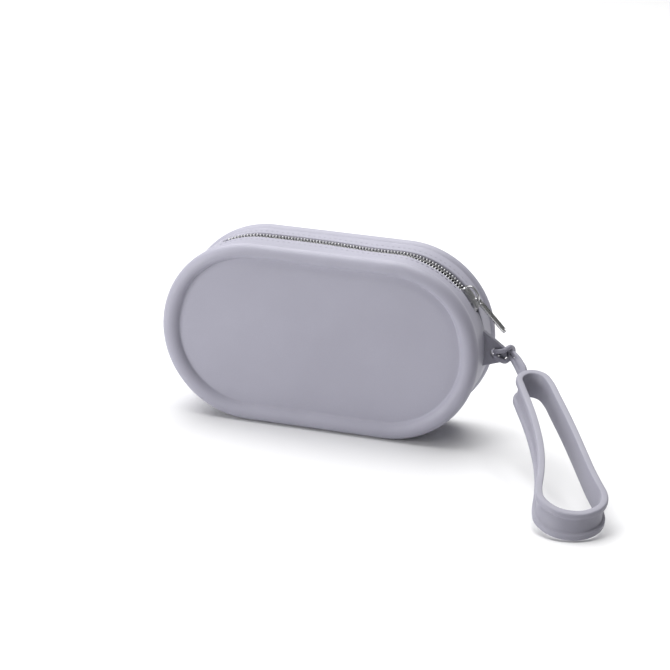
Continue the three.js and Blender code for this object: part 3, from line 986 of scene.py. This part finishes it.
# ---------------------------------------------------------------------------------------------------------------
# Wrist strap: band, neck and cord
LOOP_O = np.array([121.126, -59.349, -18.8])
LOOP_N = np.array([0.0993, -0.25954, 0.96061]); LOOP_N /= np.linalg.norm(LOOP_N)
LOOP_U = np.array([0.43465, -0.8571, -0.27651]); LOOP_U /= np.linalg.norm(LOOP_U)
LOOP_V = np.cross(LOOP_N, LOOP_U); LOOP_V /= np.linalg.norm(LOOP_V)
LEAN_U, LEAN_V = 0.514, -0.192
LOOP = [(-55.17, 1.11), (-52.43, -3.2), (-47.28, -3.56), (-36.25, -3.32), (-25.94, -3.39), (-15.74, -3.95), (-5.37, -4.98), (4.63, -6.69),
        (14.88, -9.34), (25.82, -12.82), (31.19, -13.36), (36.83, -10.76), (40.53, -6.29), (41.73, 0.61), (38.92, 7.32), (34.75, 10.36), (30.59, 11.07),
        (25.81, 10.64), (15.5, 9.84), (5.06, 9.56), (-5.43, 9.33), (-16.17, 8.97), (-26.95, 8.43), (-37.35, 7.72), (-47.98, 6.9), (-53.07, 5.32)]
W, FL, WEB, FH = 9.89, 3.0, 1.55, 1.7


def strap_band():
    n = 420
    p = catmull(LOOP, n, closed=True)
    # even out the curvature
    for _ in range(6):
        p = 0.5 * p + 0.25 * (np.roll(p, 1, 0) + np.roll(p, -1, 0))
    d = np.roll(p, -1, 0) - np.roll(p, 1, 0)
    d /= np.linalg.norm(d, axis=1)[:, None]
    out = np.stack([d[:, 1], -d[:, 0]], 1)
    section = []

    def arc(cr, ch, r, a0, a1, k):
        for i in range(k + 1):
            a = math.radians(a0 + (a1 - a0) * i / k)
            section.append((cr + r * math.cos(a), ch + r * math.sin(a)))

    # (distance outwards, distance from the near edge); drawn round from the inner face at the near edge
    arc(0.45, W - 0.45, 0.45, 180, 90, 4)
    arc(FL - 0.7, W - 0.7, 0.7, 90, 0, 5)
    arc(FL - 0.55, W - FH + 0.1, 0.55, 0, -80, 4)
    arc(WEB + 0.6, W - FH - 1.1, 0.6, 100, 180, 4)
    arc(WEB + 0.6, FH + 1.1, 0.6, 180, 260, 4)
    arc(FL - 0.55, FH - 0.1, 0.55, 80, 0, 4)
    arc(FL - 0.7, 0.7, 0.7, 0, -90, 5)
    arc(0.45, 0.45, 0.45, -90, -180, 4)
    m = len(section)
    rings = []
    for q, o_ in zip(p, out):
        for r, h in section:
            u, v = q[0] + o_[0] * r, q[1] + o_[1] * r
            rings.append(LOOP_O + LOOP_U * (u + LEAN_U * h) + LOOP_V * (v + LEAN_V * h) - LOOP_N * h)
    return new_object("strap_band", rings, grid_faces(n, m, True, True))


CORD = [(95.9, -11.0, -7.4), (95.0, -8.9, -4.9), (93.9, -6.9, -3.1), (92.3, -5.0, -1.95), (90.5, -3.0, -0.76), (88.3, -0.9, 0.26), (86.2, 1.25, 0.66),
        (84.0, 2.95, 0.85), (80.6, 2.8, 0.85), (79.3, 2.0, 0.86), (79.2, 0, 0.86), (79.3, -2.0, 0.93), (80.8, -2.75, 1.35), (82.4, -2.8, 1.7), (83.6, -2.75, 2.2),
        (84.4, -2.2, 2.75), (85.05, -1.2, 3.2), (85.5, 0.1, 3.25), (85.8, 1.9, 2.6), (86.1, 4.0, 1.4), (86.2, 4.8, -0.1), (86.0, 4.1, -1.7), (85.35, 1.7, -2.75),
        (84.95, -0.6, -2.85), (84.35, -2.2, -3.05), (83.4, -2.8, -2.95), (82.3, -2.8, -2.55), (80.9, -2.8, -2.0), (79.8, -2.65, -1.55), (79.25, -1.9, -1.28),
        (79.2, 0, -1.25), (79.3, 1.9, -1.28), (80.6, 2.8, -1.4), (83.8, 3.0, -1.6), (85.6, 1.4, -1.85), (87.0, -0.8, -2.15), (88.7, -3.3, -3.05), (90.6, -5.9, -4.4),
        (92.1, -7.8, -5.8), (93.7, -9.7, -7.3), (95.6, -11.3, -9.0)]


def strap_neck():
    """The cord and the block where its two ends run into the band, melted into one moulding."""
    path = catmull(CORD, 460)
    for _ in range(3):
        path[1:-1] = 0.5 * path[1:-1] + 0.25 * (path[:-2] + path[2:])
    cord = tube("cord_line", path, 1.1, 18)
    blobs = [cord]
    line = catmull([(96.3, -11.5, -8.6), (95.9, -10.8, -8.2), (95.2, -9.9, -7.2), (94.4, -8.9, -6.1), (93.4, -7.6, -4.75)], 14)
    blobs.append(tube("neck_core", line, np.linspace(2.3, 1.45, 14), 20))
    # the two runs of the cord lie against each other and are melted along their length
    line = catmull([(88.9, -2.2, -0.95), (90.3, -3.75, -1.75), (92.0, -5.7, -2.95), (93.7, -7.7, -4.4), (95.0, -9.6, -6.3)], 30)
    blobs.append(tube("neck_web", line, np.r_[np.linspace(0.75, 1.25, 8), np.full(22, 1.3)], 18))
    o = join("strap_neck", blobs)
    m = o.modifiers.new("melt", "REMESH")
    m.mode = "VOXEL"
    m.voxel_size = 0.00022
    m.use_smooth_shade = True
    s = o.modifiers.new("smooth", "SMOOTH")
    s.factor = 0.5
    s.iterations = 8
    apply_modifiers(o)
    o.data.shade_smooth()
    return o


band, neck = strap_band(), strap_neck()
paint(band, M_STRAP_PAINTED_SHADE)
paint(neck, M_STRAP_PAINTED_SHADE)
strap = join("wrist_strap_moulding", [band, neck])
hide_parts("wrist_strap")
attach(strap, "strap")

# ---------------------------------------------------------------------------------------------------------------
# Floor, lights and camera
fm, nt, bsdf = nodes_of("floor_paper")
vec = object_coords(nt)
nt.links.new(ramp(nt, noise(nt, vec, 3.0, 2, 0.5), [(0.3, (0.80, 0.80, 0.805)), (0.7, (0.825, 0.825, 0.83))]), bsdf.inputs["Base Color"])
bsdf.inputs["Roughness"].default_value = 0.9
bsdf.inputs["Specular IOR Level"].default_value = 0.2
me = bpy.data.meshes.new("floor")
S = 6.0
me.from_pydata([(-S, -S, -0.0002), (S, -S, -0.0002), (S, S, -0.0002), (-S, S, -0.0002)], [], [(0, 1, 2, 3)])
floor = bpy.data.objects.new("floor", me)
root.objects.link(floor)
floor.data.materials.append(fm)

world = bpy.data.worlds.new("studio")
scene.world = world
world.use_nodes = True
bg = world.node_tree.nodes["Background"]
bg.inputs["Color"].default_value = (1.0, 1.0, 1.0, 1)
bg.inputs["Strength"].default_value = 0.15


def area(name, place, target, size, power, color=(1, 1, 1)):
    li = bpy.data.lights.new(name, "AREA")
    li.shape = "RECTANGLE"
    li.size, li.size_y = size
    li.energy = power
    li.color = color
    o = bpy.data.objects.new(name, li)
    o.location = place
    o.rotation_euler = (Vector(target) - Vector(place)).to_track_quat("-Z", "Y").to_euler()
    root.objects.link(o)
    return o


area("top_softbox", (-0.30, 0.36, 1.3), (0, 0, 0), (1.7, 1.7), 39)
area("left_softbox", (-1.25, -1.15, 0.42), (0, 0, 0.04), (1.1, 0.9), 18.5)

cam = bpy.data.cameras.new("camera")
cam.sensor_width = 36.0
cam.lens = 127.33
cam.shift_x = 0.00945
cam.shift_y = -0.00725
cam.clip_start = 0.05
co = bpy.data.objects.new("camera", cam)
R_ = Vector((0.95651152, 0.28952247, 0.03553113))
U_ = Vector((-0.12524386, 0.297626, 0.94643158))
B_ = Vector((0.26343822, -0.90972276, 0.32094361))
m = Matrix((R_, U_, B_)).transposed().to_4x4()
m.translation = Vector(C0) + B_ * 1.09378
co.matrix_world = m
root.objects.link(co)
scene.camera = co
scene.view_settings.view_transform = "Standard"
